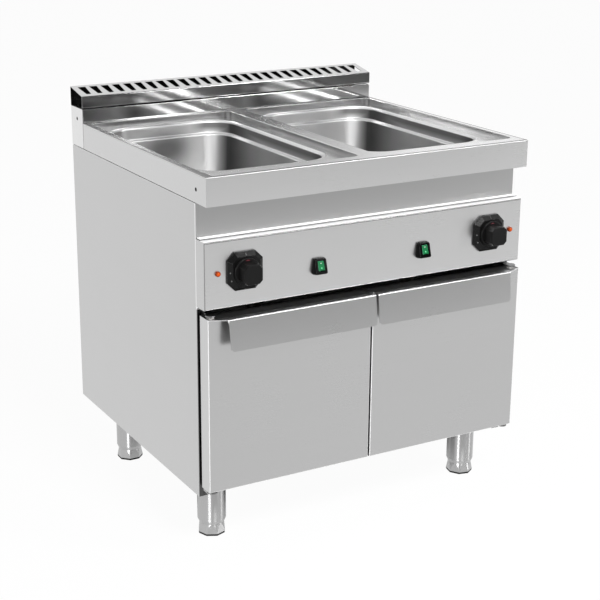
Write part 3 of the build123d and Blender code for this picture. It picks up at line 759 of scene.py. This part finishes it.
def polish(name, tone, rough, grain="X"):
    """Start of a polished finish: the finish, its tone and its roughness."""
    finish = Finish(name)
    haze = finish.noise(5.0, 4.0)
    wipe = finish.noise(1.0, 3.0, along_grain(grain, WIPES, WIPE_RUN))
    shade = finish.mix(wipe, grey(tone - WIPE_SPREAD), grey(tone + WIPE_SPREAD))
    return finish, shade, rough + HAZE_ROUGH * (haze - 0.5) + WIPE_ROUGH * (wipe - 0.5)


def polished_sheet(name, tone, rough, grain="X", pull=0.0):
    """Plain polished stainless; pull stretches its reflections upright."""
    finish, shade, roughness = polish(name, tone, rough, grain)
    return finish.set(Base_Color=shade, Roughness=roughness, Metallic=1.0,
                      Anisotropic=pull, Anisotropic_Rotation=TURNED_UPRIGHT)


wear(polished_sheet("polished_leg", 0.72, 0.34, "Z", 0.95), *corners("leg"))
wear(polished_sheet("plated_zinc", 0.74, 0.28), *pair("thermostat"), *pair("spindle"))
wear(polished_sheet("drawn_pipe", 0.76, 0.26, "Z"), *pair("drain_pipe"))

# %% [markdown]
# ## Upstand and grille
# The flue upstand stands behind the worktop with a slotted grille on top. Through the slots one
# sees the unlit inside of the grille's back, and its front ends in a dark line above the upstand;
# both are painted shade. What is dark there isn't metal to the shader, so that it mirrors nothing.
# The grille's front, the upstand's upright bends and its joining hole get painted shade too.

# %% Upstand and grille
UPSTAND_HOLE = (0.3425, 0.84)
BEND_TONE = 0.30
GRILLE_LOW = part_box("flue_grille")[0]
GRILLE_DEPTH = 0.03
GRILLE_LINE = 0.0035
GRILLE_FRONT_TONE, GRILLE_DARK_TONE = 0.74, 0.05


def polished_upstand():
    finish, shade, roughness = polish("polished_upstand", 0.88, 0.10)
    # Painted shade on the upright bends and in the joining hole.
    upright_bends = on_bends(finish) * (abs(finish.facing("Z")) < 0.3)
    hole = in_hole(finish, *UPSTAND_HOLE)
    shade = finish.mix(upright_bends, shade, grey(BEND_TONE))
    shade = finish.mix(hole, shade, grey(HOLE_TONE))
    return finish.set(Base_Color=shade, Roughness=roughness, Metallic=1.0 - hole)


def polished_grille():
    finish, shade, roughness = polish("polished_grille", 0.80, 0.09)
    # Painted shade on the front, inside the back and along the lower edge.
    ahead = looking_forward(finish)
    back_inside = ahead * (finish.at("Y") > GRILLE_LOW.y + GRILLE_DEPTH)
    dark = back_inside | (finish.at("Z") < GRILLE_LOW.z + GRILLE_LINE)
    shade = finish.mix(ahead, shade, grey(GRILLE_FRONT_TONE))
    shade = finish.mix(dark, shade, grey(GRILLE_DARK_TONE))
    return finish.set(Base_Color=shade, Roughness=roughness, Metallic=1.0 - dark)


wear(polished_upstand(), "flue_upstand")
wear(polished_grille(), "flue_grille")

# %% [markdown]
# ## Where in a well
# Each well is drawn from one sheet: a rolled lip, a band below it, a shelf, and a deep tub. Its
# masks are made from the place across and along the well, counted from its middle, so that the
# same finish fits both wells.

# %% Masks for the wells
WELL_LOW, WELL_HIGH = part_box("right_basin")
WELL_MIDDLE, WELL_HALF = (WELL_LOW + WELL_HIGH) / 2, (WELL_HIGH - WELL_LOW) / 2
WELL_INSET = 0.020
SHELF = 0.789
BAND_FRONT, BAND_WALL = (0.10, 0.05), (0.10, 0.06)
BAND_LOW, BAND_HIGH = SHELF + 0.001, SHELF + 0.016
BAND_STRENGTH = 0.75
PATCH_X, PATCH_Z = -0.205, 0.762
PATCH_WIDER = 1.6
PATCH_REACH = (0.015, 0.095)


def in_well(finish):
    """Place across and along either well, from its middle."""
    sideways = finish.at("X")
    across = sideways - WELL_MIDDLE.x + (sideways < 0.0) * (2 * WELL_MIDDLE.x)
    return across, finish.at("Y") - WELL_MIDDLE.y


def length(first, second):
    return (first * first + second * second).root()


def near(finish, away, close, far):
    """One close by, falling softly to zero far away."""
    return 1.0 - finish.ramp(away, close, far, soft=True)


def dark_band(finish, across, along):
    """One on the right wall above the shelf, fading down to it except at the front end; it carries a dark
    painted reflection.
    """
    front_end = finish.ramp(along, *[inset - WELL_HALF.y for inset in BAND_FRONT])
    height = finish.ramp(finish.at("Z"), BAND_LOW, BAND_HIGH)
    band = height | front_end * (finish.at("Z") > SHELF)
    right_wall = finish.ramp(across, *[WELL_HALF.x - inset for inset in BAND_WALL])
    return band * right_wall * (BAND_STRENGTH + (1.0 - BAND_STRENGTH) * front_end)


def dark_patch(finish):
    """One in a soft patch on the back wall of the left well, below its shelf; it carries a dark painted
    reflection.
    """
    away = length(finish.at("X") - PATCH_X, PATCH_WIDER * (finish.at("Z") - PATCH_Z))
    return near(finish, away, *PATCH_REACH)


print("well reaches", round(WELL_HALF.x, 4), "and", round(WELL_HALF.y, 4), "m from its middle")

# %% [markdown]
# ## Wells
# Drawing roughens the sheet in the corners, and in the back corner a bright end wall meets a
# dark side wall. Lamps alone don't give that meeting, so it is painted: the distance from the
# corner, and which way the wall looks, set a painted highlight on the end wall, a dark painted
# reflection on the side wall and the roughness of both. A soft dark patch on the back wall of the
# left well and a dark band on the right walls are painted reflections too. The lip and the shelf
# are level; they get a darker painted reflection, with a painted highlight along the right and
# near the back corner.

# %% Wells
WELL_ROUGH, CORNER_ROUGH, LEDGE_ROUGH = 0.36, 0.60, 0.08
LEVEL_TONE, LEDGE_TONE = 0.56, 0.88
PATCH_TONE, END_TONE, SIDE_TONE = 0.42, 0.80, 0.34
CORNER_LEDGE = 0.77
END_REACH, SIDE_REACH, LEDGE_REACH = (0.015, 0.12), (0.04, 0.26), (0.02, 0.15)
RIGHT_LIP = (0.07, 0.05)


def polished_well():
    finish, shade, roughness = polish("polished_well", 0.70, WELL_ROUGH, "Z")
    across, along = in_well(finish)
    away = length(WELL_HALF.x - WELL_INSET - abs(across), WELL_HALF.y - WELL_INSET - abs(along))
    to_end = abs(finish.facing("Y"))
    upright = finish.ramp(abs(finish.facing("Z")), 0.30, 0.10)
    level = 1.0 - upright
    behind = finish.ramp(along, -0.02, 0.06)
    corner = behind * upright * finish.ramp(across, -0.06, 0.02)
    end_wall = corner * near(finish, away, *END_REACH) * finish.ramp(to_end, 0.30, 1.00)
    side_wall = corner * near(finish, away, *SIDE_REACH) * finish.ramp(to_end, 0.85, 0.30)
    side_wall = side_wall | upright * dark_band(finish, across, along)
    right_lip = finish.ramp(across, *[WELL_HALF.x - inset for inset in RIGHT_LIP])
    ledge = level * (CORNER_LEDGE * near(finish, away, *LEDGE_REACH) * behind | right_lip)
    # Painted reflections and highlights on level faces, patch, end wall and side wall.
    shade = finish.mix(level, shade, finish.mix(ledge, grey(LEVEL_TONE), grey(LEDGE_TONE)))
    shade = finish.mix(upright * dark_patch(finish), shade, grey(PATCH_TONE))
    shade = finish.mix(end_wall, shade, grey(END_TONE))
    shade = finish.mix(side_wall, shade, grey(SIDE_TONE))
    roughness = roughness + (CORNER_ROUGH - WELL_ROUGH) * (end_wall + side_wall) + LEDGE_ROUGH * level
    return finish.set(Base_Color=shade, Roughness=roughness, Metallic=1.0,
                      Anisotropic=0.55, Anisotropic_Rotation=TURNED_UPRIGHT)


wear(polished_well(), *pair("basin"))

# %% [markdown]
# ## Feet
# A foot is a turned steel tube with a dark plastic pad pressed in from below. One finish does
# both: a mask from the height picks the pad.

# %% Feet
PAD_TOP = 0.0045
PAD_TONE, FOOT_TONES = 0.05, (0.70, 0.74)


def foot_steel():
    finish = Finish("foot_steel")
    pad = finish.at("Z") < PAD_TOP
    haze = finish.noise(30.0, 3.0)
    steel = finish.mix(haze, *[grey(tone) for tone in FOOT_TONES])
    return finish.set(Base_Color=finish.mix(pad, steel, grey(PAD_TONE)), Metallic=1.0 - pad,
                      Roughness=0.30 + 0.05 * haze + 0.3 * pad,
                      Anisotropic=0.9, Anisotropic_Rotation=TURNED_UPRIGHT)


wear(foot_steel(), *corners("foot"))

# %% [markdown]
# ## Moulded plastic
# Knobs, bezels and switch frames are black moulded plastic with a fine spark-eroded grain.
# A mould never leaves a sharp edge, so a Bevel node rounds the shading of the edges and lets
# them catch a thin line of light.

# %% Plastics
EDGE_ROUND = 0.0006
GRAIN, GRAIN_DEPTH, GRAIN_STRENGTH = 2200.0, 0.00004, 0.3


def moulded_plastic(name, tone, rough, gloss=0.3, warmth=0.0):
    finish = Finish(name)
    pits = finish.noise(GRAIN, 2.0)
    rub = finish.noise(25.0, 4.0)
    shade = finish.mix(rub, grey(0.7 * tone, warmth), grey(min(1.3 * tone, tone + 0.02), warmth))
    rounded = finish.add("ShaderNodeBevel", {"samples": 6}, {"Radius": EDGE_ROUND})
    return finish.set(Base_Color=shade, Roughness=rough + 0.12 * (rub - 0.5), Specular_IOR_Level=gloss,
                      Normal=finish.bump(pits, GRAIN_DEPTH, GRAIN_STRENGTH, rounded))


wear(moulded_plastic("black_bezel", 0.045, 0.24, 0.14), *pair("knob_bezel"))
wear(moulded_plastic("black_knob", 0.06, 0.30, 0.12), *pair("knob"))
wear(moulded_plastic("black_switch", 0.02, 0.16, 0.08), *pair("switch_housing"))
wear(moulded_plastic("gland_nylon", 0.18, 0.45), "cable_gland")
wear(moulded_plastic("white_nylon", 0.86, 0.45, 0.5, 0.01), *pair("door_bushes"), *pair("door_catch"),
     "terminal_block")
wear(moulded_plastic("black_coating", 0.09, 0.36), *pair("drain_lever"))

# %% [markdown]
# ## Lenses
# The rockers and the signal lamps are tinted clear plastic with light behind them. Real clear
# plastic would need a lamp inside; a little emission in the lens's own colour shows just as well
# that it is lit, most of all where the lens looks forward.

# %% Lenses
DULL_TINT, DULL_GLOW = 0.75, 0.6
RIBS, RIB_RUN = 420.0, (1, 1, 0.3)
LENS_FRONT = (-0.55, -0.97)


def dimmed(tint, share):
    return colour(*[share * part for part in tint])


def lit_lens(name, tint, side, lit, strength):
    """Lens with a tint in front, a tint at its sides that is painted light, and the colour of the lamp
    behind.
    """
    finish = Finish(name)
    ribs = finish.noise(RIBS, 1.0, RIB_RUN)
    core = finish.ramp(finish.facing("Y"), *LENS_FRONT)
    shade = finish.mix(ribs, dimmed(tint, DULL_TINT), colour(*tint))
    light = finish.mix(ribs, dimmed(lit, DULL_GLOW), colour(*lit))
    return finish.set(Base_Color=finish.mix(core, colour(*side), shade), Roughness=0.16 + 0.10 * ribs,
                      Specular_IOR_Level=0.2, Emission_Strength=strength,
                      Emission_Color=finish.mix(core, colour(0, 0, 0), light))


# The side tint is a paler painted reflection on the rockers and darker painted shade on the round signal
# lamps.
wear(lit_lens("green_lens", tint=(0.0, 0.37, 0.18), side=(0.28, 0.58, 0.44), lit=(0.0, 0.40, 0.18),
              strength=0.10), *pair("rocker"))
wear(lit_lens("orange_lens", tint=(0.74, 0.27, 0.01), side=(0.48, 0.17, 0.01), lit=(0.95, 0.42, 0.03),
              strength=0.14), *pair("lamp"))

# %% [markdown]
# ## Brass and heater steel
# Behind the doors sit plain working parts: a nickel-plated brass ball valve under each well,
# and the heating element, whose steel has gone brown and dull from heat. A cloudy noise mixes
# a clean and a stained colour.

# %% Working metals
STAINS = 35.0
PITS, PIT_DEPTH, PIT_STRENGTH = 600.0, 0.00005, 0.4


def worn_metal(name, tint, stain, rough):
    finish = Finish(name)
    cloud = finish.noise(STAINS, 5.0)
    pits = finish.noise(PITS, 2.0)
    return finish.set(Base_Color=finish.mix(cloud, colour(*stain), colour(*tint)), Metallic=1.0,
                      Roughness=rough + 0.2 * (cloud - 0.5),
                      Normal=finish.bump(pits, PIT_DEPTH, PIT_STRENGTH))


wear(worn_metal("plated_brass", (0.62, 0.61, 0.58), (0.46, 0.45, 0.42), 0.34), *pair("drain_valve"))
wear(worn_metal("heater_steel", (0.50, 0.47, 0.44), (0.30, 0.27, 0.26), 0.50), *pair("heater"),
     *pair("heater_clamps"))
bare = [name for name, piece in nodes.items() if not piece.data.materials]
print("pieces without a finish:", bare)

# %% [markdown]
# ## Marks on dials and rockers
# The bezels carry a printed line above the knob and dots on their sloping sides, each knob has
# a red pointer on its skirt, and each rocker a bar and a dot. Ink has hardly any thickness, but
# a face that lies in another face flickers, so every mark is a thin plate that stands a tenth of
# a millimetre proud. The pointer belongs to the knob and turns with it.

# %% Ink and plates
INK_LIFT = 0.0001
INK_WEAR, WORN_TINT = 900.0, 0.86
printed = []


def new_piece(name, mesh_data, finish, body):
    """Turn mesh data into a piece that rides on a body."""
    mesh = bpy.data.meshes.new(name)
    mesh_data.to_mesh(mesh)
    mesh_data.free()
    mesh.materials.append(finish)
    piece = bpy.data.objects.new(name, mesh)
    scene.collection.objects.link(piece)
    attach(piece, body)
    return piece


def ink(name, tint):
    finish = Finish(name)
    wornness = finish.noise(INK_WEAR, 3.0)
    shade = finish.mix(wornness, dimmed(tint, WORN_TINT), colour(*tint))
    return finish.set(Base_Color=shade, Roughness=0.45 + 0.1 * wornness)


def printed_mark(name, outline, centre, across, up, finish, body, slot="black_plastic"):
    """Thin plate with an outline given in millimetres along two directions of a face."""
    mesh_data = bmesh.new()
    low = [mesh_data.verts.new(centre + (across * x + up * y) / 1000) for x, y in outline]
    face = mesh_data.faces.new(low)
    raised = bmesh.ops.extrude_face_region(mesh_data, geom=[face])["geom"]
    tops = [part for part in raised if isinstance(part, bmesh.types.BMVert)]
    bmesh.ops.translate(mesh_data, verts=tops, vec=across.cross(up) * INK_LIFT)
    bmesh.ops.recalc_face_normals(mesh_data, faces=mesh_data.faces)
    printed.append(new_piece(name, mesh_data, finish, body))


def dot(radius, count=14):
    turns = [2 * math.pi * step / count for step in range(count)]
    return [(radius * math.cos(turn), radius * math.sin(turn)) for turn in turns]


def bar(wide, high):
    return [(-wide / 2, -high / 2), (wide / 2, -high / 2), (wide / 2, high / 2), (-wide / 2, high / 2)]


def moved(outline, x, y):
    return [(across + x, up + y) for across, up in outline]


# %% [markdown]
# ## Faces that carry the marks
# A mark needs the centre of its face and two directions in it. The bezel is an octagon with
# sloping sides, so they follow from its box; the front of a rocker is found among the faces of
# its own mesh.

# %% Faces of bezels and rockers
BEZEL_IN, BEZEL_OUT = 0.009, 0.007
WIDE_FACE = 0.00005
ROCKER_LEAN = (-0.97, -0.90)


def bezel_side(side, angle):
    """Centre and two directions of the sloping face of a bezel at an angle from the right."""
    low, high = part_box(side + "_knob_bezel")
    middle, reach = (low + high) / 2, (high.x - low.x) / 2
    turn = math.radians(angle)
    radial = Vector((math.cos(turn), 0, math.sin(turn)))
    across = Vector((-math.sin(turn), 0, math.cos(turn)))
    climb = (radial * -BEZEL_IN + Vector((0, -BEZEL_OUT, 0))).normalized()
    front = Vector((middle.x, low.y, middle.z))
    centre = front + radial * (reach - BEZEL_IN / 2) + Vector((0, BEZEL_OUT / 2, 0))
    if across.cross(climb).y > 0:
        across = -across
    return centre, across, climb


def rocker_face(side):
    """Centre and two directions of the front face of a rocker."""
    faces = nodes[side + "_rocker"].data.polygons
    ahead = [face for face in faces if ROCKER_LEAN[0] < face.normal.y < ROCKER_LEAN[1]]
    front = [face for face in ahead if face.area > WIDE_FACE]
    centre = sum((Vector(face.center) for face in front), Vector()) / len(front)
    across = Vector((1, 0, 0))
    return centre, across, Vector(front[0].normal).cross(across)


# %% [markdown]
# ## Print the marks
# The outlines are in millimetres. The pointer is a wedge with a short line on top of it, and it
# lies on the knob's skirt, a little above the middle of the knob.

# %% Printed marks
SKIRT_FORWARD = 0.005
POINTER_UP = 0.0245
DIAL_DOT, DOT_STEP, DOT_DRIFT = 1.5, 17.0, 0.15
DIAL_LINE, POINTER_LINE = (0.8, 6.0), (1.0, 2.0)
white_rocker_colour = ink("white_rocker_colour", (0.86, 0.86, 0.85))
grey_ink = ink("grey_ink", (0.46, 0.46, 0.46))
red_ink = ink("red_ink", (0.44, 0.07, 0.14))
pale_rocker_colour = ink("pale_green_rocker_colour", (0.42, 0.86, 0.62))
wedge = [(-4.6, -0.8), (4.6, -0.8), (3.6, 0.7), (0.9, 1.7), (-0.9, 1.7), (-3.6, 0.7)]
# Each rocker gets a white bar above and a pale green dot below.
rocker_marks = [(moved(bar(2.8, 1.5), 0, 5.2), white_rocker_colour), (moved(dot(1.7), 0, -5.0), pale_rocker_colour)]
upright_face = Vector((1, 0, 0)), Vector((0, 0, 1))

for side in ("left", "right"):
    for number, down in enumerate((0.0, DOT_STEP)):
        spot = moved(dot(DIAL_DOT), down, DOT_DRIFT * down)
        printed_mark(f"{side}_dial_dot_{number}", spot, *bezel_side(side, 180), grey_ink, "cabinet")
    printed_mark(side + "_dial_line", bar(*DIAL_LINE), *bezel_side(side, 90), grey_ink, "cabinet")
    low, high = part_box(side + "_knob")
    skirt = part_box(side + "_knob_bezel")[0].y - SKIRT_FORWARD
    pointer = Vector(((low.x + high.x) / 2, skirt, (low.z + high.z) / 2 + POINTER_UP))
    proud = pointer - Vector((0, INK_LIFT, 0))
    printed_mark(side + "_pointer", wedge, pointer, *upright_face, red_ink, side + "_dial")
    printed_mark(side + "_pointer_line", bar(*POINTER_LINE), proud, *upright_face, grey_ink,
                 side + "_dial")
    for number, (outline, tint) in enumerate(rocker_marks):
        printed_mark(f"{side}_rocker_mark_{number}", outline, *rocker_face(side), tint,
                     side + "_rocker_key", "green_lens")
print("printed marks", len(printed))

# %% [markdown]
# ## Screws
# Button-head screws hold the back panel, the hinge brackets and the leg plates. One head is
# a few rings of points: the rim, the shoulder, the crown, and a six-sided socket sunk into
# it. The same function sets it on any face, turned along the face's normal.

# %% Screw heads
HEAD_POINTS = 24
HEAD_RINGS = [(1.0, 0.0, 0), (1.0, 0.12, 0), (0.9, 0.36, 0), (0.66, 0.52, 0),
              (0.46, 0.56, 6), (0.46, 0.2, 6)]
screw_steel = worn_metal("screw_steel", (0.74, 0.73, 0.71), (0.62, 0.61, 0.60), 0.26)
screws = []


def ring(mesh_data, radius, height, sides):
    """Circle of points, or with sides a polygon with the same number of points."""
    points = []
    for step in range(HEAD_POINTS):
        turn = 2 * math.pi * step / HEAD_POINTS
        reach = radius
        if sides:
            half_side = math.pi / sides
            reach = radius * math.cos(half_side) / math.cos((turn % (2 * half_side)) - half_side)
        points.append(mesh_data.verts.new((reach * math.cos(turn), reach * math.sin(turn), height)))
    return points


def screw_head(name, place, normal, radius):
    mesh_data = bmesh.new()
    rings = [ring(mesh_data, radius * wide, radius * high, sides) for wide, high, sides in HEAD_RINGS]
    for lower, upper in zip(rings, rings[1:]):
        for step in range(HEAD_POINTS):
            following = (step + 1) % HEAD_POINTS
            mesh_data.faces.new((lower[step], lower[following], upper[following], upper[step]))
    mesh_data.faces.new(rings[-1])
    mesh_data.faces.new(list(reversed(rings[0])))
    turn = Vector((0, 0, 1)).rotation_difference(Vector(normal)).to_matrix().to_4x4()
    mesh_data.transform(Matrix.Translation(Vector(place)) @ turn)
    screws.append(new_piece(name, mesh_data, screw_steel, "cabinet"))


def screw_row(name, places, normal, radius):
    for number, place in enumerate(places):
        screw_head(f"{name}_{number}", place, normal, radius)


# %% [markdown]
# ## Set the screws
# Five screws run down each side of the back panel, two hold each hinge bracket to its side
# panel, and four bolts hold each leg plate to the cupboard floor. Their places follow from the
# boxes of the pieces they hold.

# %% Set the screws
BACK_SIDE, BACK_END, BACK_ROWS = 0.012, 0.03, 5
BRACKET_SHEET = 0.003
BRACKET_TOP = 0.0045
BRACKET_INSETS = (0.008, 0.028)
BOLT_REACH = 0.036
BACK_SCREW, HINGE_SCREW, LEG_BOLT = 0.0045, 0.0032, 0.006

panel_low, panel_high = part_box("rear_panel")
gap = (panel_high.z - panel_low.z - 2 * BACK_END) / (BACK_ROWS - 1)
heights = [panel_low.z + BACK_END + step * gap for step in range(BACK_ROWS)]
for side, x in (("left", panel_low.x + BACK_SIDE), ("right", panel_high.x - BACK_SIDE)):
    screw_row(side + "_back_screw", [(x, panel_high.y, z) for z in heights], (0, 1, 0), BACK_SCREW)
for end in ("upper", "lower"):
    for side, inward in (("left", 1), ("right", -1)):
        low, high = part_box(side + "_" + end + "_hinge")
        wall = low.x + BRACKET_SHEET if inward > 0 else high.x - BRACKET_SHEET
        places = [(wall, high.y - inset, high.z - BRACKET_TOP) for inset in BRACKET_INSETS]
        screw_row(f"{side}_{end}_hinge_screw", places, (inward, 0, 0), HINGE_SCREW)
floor_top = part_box("bottom_panel")[1].z
for leg in corners("leg"):
    low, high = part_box(leg)
    middle = (low + high) / 2
    places = [(middle.x + x, middle.y + y, floor_top)
              for x in (-BOLT_REACH, BOLT_REACH) for y in (-BOLT_REACH, BOLT_REACH)]
    screw_row(leg + "_bolt", places, (0, 0, 1), LEG_BOLT)
print("screws", len(screws))

# %% [markdown]
# ## Sizes at the end
# The box of all the pieces, the added ones too, is printed at the end, as the counter's own box
# was at the start. Nothing that was added may stand outside the counter's own box.

# %% Print the visual box
low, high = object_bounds()
print("visual box", tuple(low), tuple(high))
